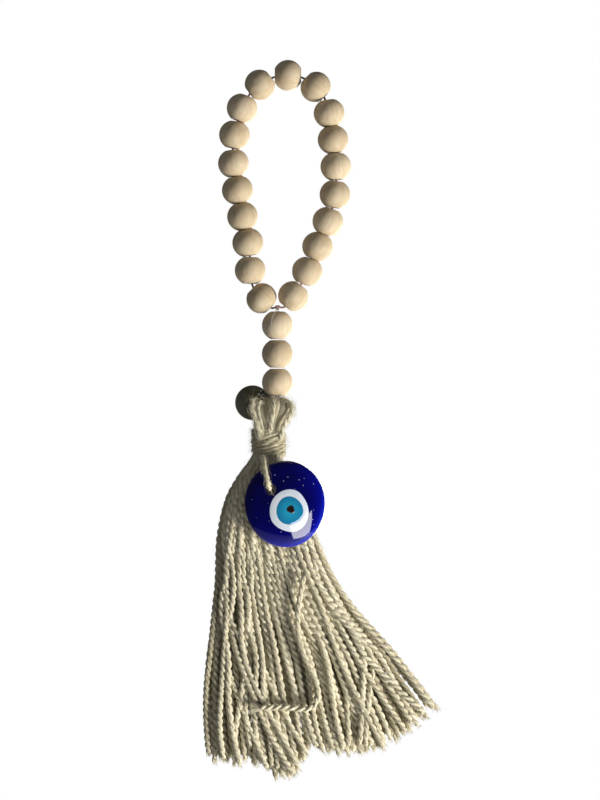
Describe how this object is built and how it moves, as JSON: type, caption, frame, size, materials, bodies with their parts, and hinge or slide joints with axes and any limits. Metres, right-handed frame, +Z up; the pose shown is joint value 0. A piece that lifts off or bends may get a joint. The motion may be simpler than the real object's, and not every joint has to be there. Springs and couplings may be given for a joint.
{
  "type": "beaded evil eye tassel ornament",
  "caption": "Loop of round wooden beads on a string, with a beaded stem, a yarn tassel, a round glass eye pendant tied at its neck and a small hang tag.",
  "frame": {"origin": "the hang point, on the underside of the crown bead at the top of the loop", "axes": "+X to the right and +Z up as the ornament hangs; +Y from the eye towards the back of the tassel"},
  "size_m": [0.1175, 0.0369, 0.3627],
  "materials": {
    "bead_wood": "raw, sanded, unvarnished",
    "string": "thin twisted cotton string, dull pinkish brown",
    "yarn": "soft two-ply cream yarn with loose fuzz",
    "blue_glass": "deep cobalt blue, glossy, hand poured",
    "white_glass": "opaque white glass, glossy",
    "light_blue_glass": "opaque light blue glass, glossy",
    "black_glass": "opaque black glass, glossy",
    "tag_card": "dark olive stiff card, bare",
    "tag_string": "thin dark waxed thread"
  },
  "bodies": {
    "loop": {"loop_string": "string", "junction_knot": "string"},
    "loop_bead_crown": {"loop_bead_crown": "bead_wood"},
    "loop_bead_right_1": {"loop_bead_right_1": "bead_wood"},
    "loop_bead_right_2": {"loop_bead_right_2": "bead_wood"},
    "loop_bead_right_3": {"loop_bead_right_3": "bead_wood"},
    "loop_bead_right_4": {"loop_bead_right_4": "bead_wood"},
    "loop_bead_right_5": {"loop_bead_right_5": "bead_wood"},
    "loop_bead_right_6": {"loop_bead_right_6": "bead_wood"},
    "loop_bead_right_7": {"loop_bead_right_7": "bead_wood"},
    "loop_bead_right_8": {"loop_bead_right_8": "bead_wood"},
    "loop_bead_right_9": {"loop_bead_right_9": "bead_wood"},
    "loop_bead_left_1": {"loop_bead_left_1": "bead_wood"},
    "loop_bead_left_2": {"loop_bead_left_2": "bead_wood"},
    "loop_bead_left_3": {"loop_bead_left_3": "bead_wood"},
    "loop_bead_left_4": {"loop_bead_left_4": "bead_wood"},
    "loop_bead_left_5": {"loop_bead_left_5": "bead_wood"},
    "loop_bead_left_6": {"loop_bead_left_6": "bead_wood"},
    "loop_bead_left_7": {"loop_bead_left_7": "bead_wood"},
    "loop_bead_left_8": {"loop_bead_left_8": "bead_wood"},
    "loop_bead_left_9": {"loop_bead_left_9": "bead_wood"},
    "stem_stub": {"stem_string_stub": "string"},
    "stem_upper": {"stem_string_upper": "string"},
    "stem_middle": {"stem_string_middle": "string"},
    "stem_lower": {"stem_string_lower": "string"},
    "stem_bead_1": {"stem_bead_1": "bead_wood"},
    "stem_bead_2": {"stem_bead_2": "bead_wood"},
    "stem_bead_3": {"stem_bead_3": "bead_wood"},
    "hanger": {"hanger_knot": "string"},
    "tassel": {"tassel_head": "yarn", "neck_wrap": "yarn", "skirt_lock_1": "yarn", "skirt_lock_2": "yarn", "skirt_lock_3": "yarn", "skirt_lock_4": "yarn", "skirt_lock_5": "yarn", "skirt_lock_6": "yarn", "skirt_lock_7": "yarn", "skirt_lock_8": "yarn", "stray_strand": "yarn"},
    "tie_knot": {"eye_tie_knot": "yarn"},
    "tie": {"eye_tie": "yarn"},
    "eye": {"eye_glass": "blue_glass", "eye_white": "white_glass", "eye_iris": "light_blue_glass", "eye_pupil": "black_glass"},
    "tag_string": {"tag_string": "tag_string"},
    "tag": {"hang_tag": "tag_card"}
  },
  "joints": [
    {"name": "stem_swing_fore_aft", "type": "hinge", "parent": "loop", "child": "stem_stub", "pos_m": [-0.0053, 0, -0.10816], "axis": [1, 0, 0], "range_deg": [-25, 25]},
    {"name": "stem_swing_side", "type": "hinge", "parent": "stem_stub", "child": "stem_upper", "pos_m": [-0.0053, 0, -0.10816], "axis": [0, 1, 0], "range_deg": [-6, 4]},
    {"name": "stem_bend_side", "type": "hinge", "parent": "stem_upper", "child": "stem_middle", "pos_m": [-0.0053, 0, -0.1243], "axis": [0, 1, 0], "range_deg": [-7, 7]},
    {"name": "stem_bend_fore_aft", "type": "hinge", "parent": "stem_middle", "child": "stem_lower", "pos_m": [-0.0053, 0, -0.13861], "axis": [1, 0, 0], "range_deg": [-7, 7]},
    {"name": "tassel_twist", "type": "hinge", "parent": "stem_lower", "child": "hanger", "pos_m": [-0.0053, 0, -0.15865], "axis": [0, 0, 1], "range_deg": [-180, 180]},
    {"name": "tassel_swing_side", "type": "hinge", "parent": "hanger", "child": "tassel", "pos_m": [-0.0053, 0, -0.15865], "axis": [0, 1, 0], "range_deg": [-6, 6]},
    {"name": "eye_lift", "type": "hinge", "parent": "tassel", "child": "tie_knot", "pos_m": [-0.0125, -0.01043, -0.18305], "axis": [1, 0, 0], "range_deg": [-80, 0]},
    {"name": "eye_swing", "type": "hinge", "parent": "tie_knot", "child": "tie", "pos_m": [-0.0125, -0.01043, -0.18305], "axis": [0, 1, 0], "range_deg": [-15, 20]},
    {"name": "eye_turn", "type": "hinge", "parent": "tie", "child": "eye", "pos_m": [-0.0087, -0.0136, -0.19856], "axis": [0, 1, 0], "range_deg": [-15, 55]},
    {"name": "tag_lift", "type": "hinge", "parent": "tassel", "child": "tag_string", "pos_m": [-0.0086, 0.0039, -0.1533], "axis": [1, 0, 0], "range_deg": [0, 20]},
    {"name": "tag_swing", "type": "hinge", "parent": "tag_string", "child": "tag", "pos_m": [-0.0136, 0.0096, -0.15096], "axis": [0, 1, 0], "range_deg": [-5, 35]},
    {"name": "loop_bead_crown_spin", "type": "hinge", "parent": "loop", "child": "loop_bead_crown", "pos_m": [0, 0, 0.0078], "axis": [1, 0, 0], "continuous": true},
    {"name": "loop_bead_right_1_spin", "type": "hinge", "parent": "loop", "child": "loop_bead_right_1", "pos_m": [0.01385, 0, 0.00206], "axis": [0.707, 0, -0.7072], "continuous": true},
    {"name": "loop_bead_right_2_spin", "type": "hinge", "parent": "loop", "child": "loop_bead_right_2", "pos_m": [0.02058, 0, -0.01115], "axis": [0.1563, 0, -0.9877], "continuous": true},
    {"name": "loop_bead_right_3_spin", "type": "hinge", "parent": "loop", "child": "loop_bead_right_3", "pos_m": [0.02255, 0, -0.02436], "axis": [0.139, 0, -0.9903], "continuous": true},
    {"name": "loop_bead_right_4_spin", "type": "hinge", "parent": "loop", "child": "loop_bead_right_4", "pos_m": [0.02396, 0, -0.03783], "axis": [0.0696, 0, -0.9976], "continuous": true},
    {"name": "loop_bead_right_5_spin", "type": "hinge", "parent": "loop", "child": "loop_bead_right_5", "pos_m": [0.02347, 0, -0.05178], "axis": [-0.1394, 0, -0.9902], "continuous": true},
    {"name": "loop_bead_right_6_spin", "type": "hinge", "parent": "loop", "child": "loop_bead_right_6", "pos_m": [0.01996, 0, -0.06534], "axis": [-0.3585, 0, -0.9335], "continuous": true},
    {"name": "loop_bead_right_7_spin", "type": "hinge", "parent": "loop", "child": "loop_bead_right_7", "pos_m": [0.0148, 0, -0.07779], "axis": [-0.4069, 0, -0.9135], "continuous": true},
    {"name": "loop_bead_right_8_spin", "type": "hinge", "parent": "loop", "child": "loop_bead_right_8", "pos_m": [0.00964, 0, -0.09024], "axis": [-0.3585, 0, -0.9335], "continuous": true},
    {"name": "loop_bead_right_9_spin", "type": "hinge", "parent": "loop", "child": "loop_bead_right_9", "pos_m": [0.00265, 0, -0.10259], "axis": [-0.6158, 0, -0.7879], "continuous": true},
    {"name": "loop_bead_left_1_spin", "type": "hinge", "parent": "loop", "child": "loop_bead_left_1", "pos_m": [-0.01408, 0, 0.00309], "axis": [-0.7989, 0, -0.6015], "continuous": true},
    {"name": "loop_bead_left_2_spin", "type": "hinge", "parent": "loop", "child": "loop_bead_left_2", "pos_m": [-0.02295, 0, -0.00867], "axis": [-0.3587, 0, -0.9334], "continuous": true},
    {"name": "loop_bead_left_3_spin", "type": "hinge", "parent": "loop", "child": "loop_bead_left_3", "pos_m": [-0.02678, 0, -0.02199], "axis": [-0.1912, 0, -0.9816], "continuous": true},
    {"name": "loop_bead_left_4_spin", "type": "hinge", "parent": "loop", "child": "loop_bead_left_4", "pos_m": [-0.02728, 0, -0.03621], "axis": [0.1215, 0, -0.9926], "continuous": true},
    {"name": "loop_bead_left_5_spin", "type": "hinge", "parent": "loop", "child": "loop_bead_left_5", "pos_m": [-0.02529, 0, -0.04955], "axis": [0.1733, 0, -0.9849], "continuous": true},
    {"name": "loop_bead_left_6_spin", "type": "hinge", "parent": "loop", "child": "loop_bead_left_6", "pos_m": [-0.02273, 0, -0.06272], "axis": [0.2075, 0, -0.9782], "continuous": true},
    {"name": "loop_bead_left_7_spin", "type": "hinge", "parent": "loop", "child": "loop_bead_left_7", "pos_m": [-0.02008, 0, -0.07581], "axis": [0.1904, 0, -0.9817], "continuous": true},
    {"name": "loop_bead_left_8_spin", "type": "hinge", "parent": "loop", "child": "loop_bead_left_8", "pos_m": [-0.01886, 0, -0.08972], "axis": [-0.0178, 0, -0.9998], "continuous": true},
    {"name": "loop_bead_left_9_spin", "type": "hinge", "parent": "loop", "child": "loop_bead_left_9", "pos_m": [-0.01325, 0, -0.10363], "axis": [0.7068, 0, -0.7074], "continuous": true},
    {"name": "stem_bead_1_spin", "type": "hinge", "parent": "stem_upper", "child": "stem_bead_1", "pos_m": [-0.0053, 0, -0.11715], "axis": [0, 0, 1], "continuous": true},
    {"name": "stem_bead_2_spin", "type": "hinge", "parent": "stem_middle", "child": "stem_bead_2", "pos_m": [-0.0053, 0, -0.13145], "axis": [0, 0, 1], "continuous": true},
    {"name": "stem_bead_3_spin", "type": "hinge", "parent": "stem_lower", "child": "stem_bead_3", "pos_m": [-0.0053, 0, -0.14575], "axis": [0, 0, 1], "continuous": true}
  ]
}
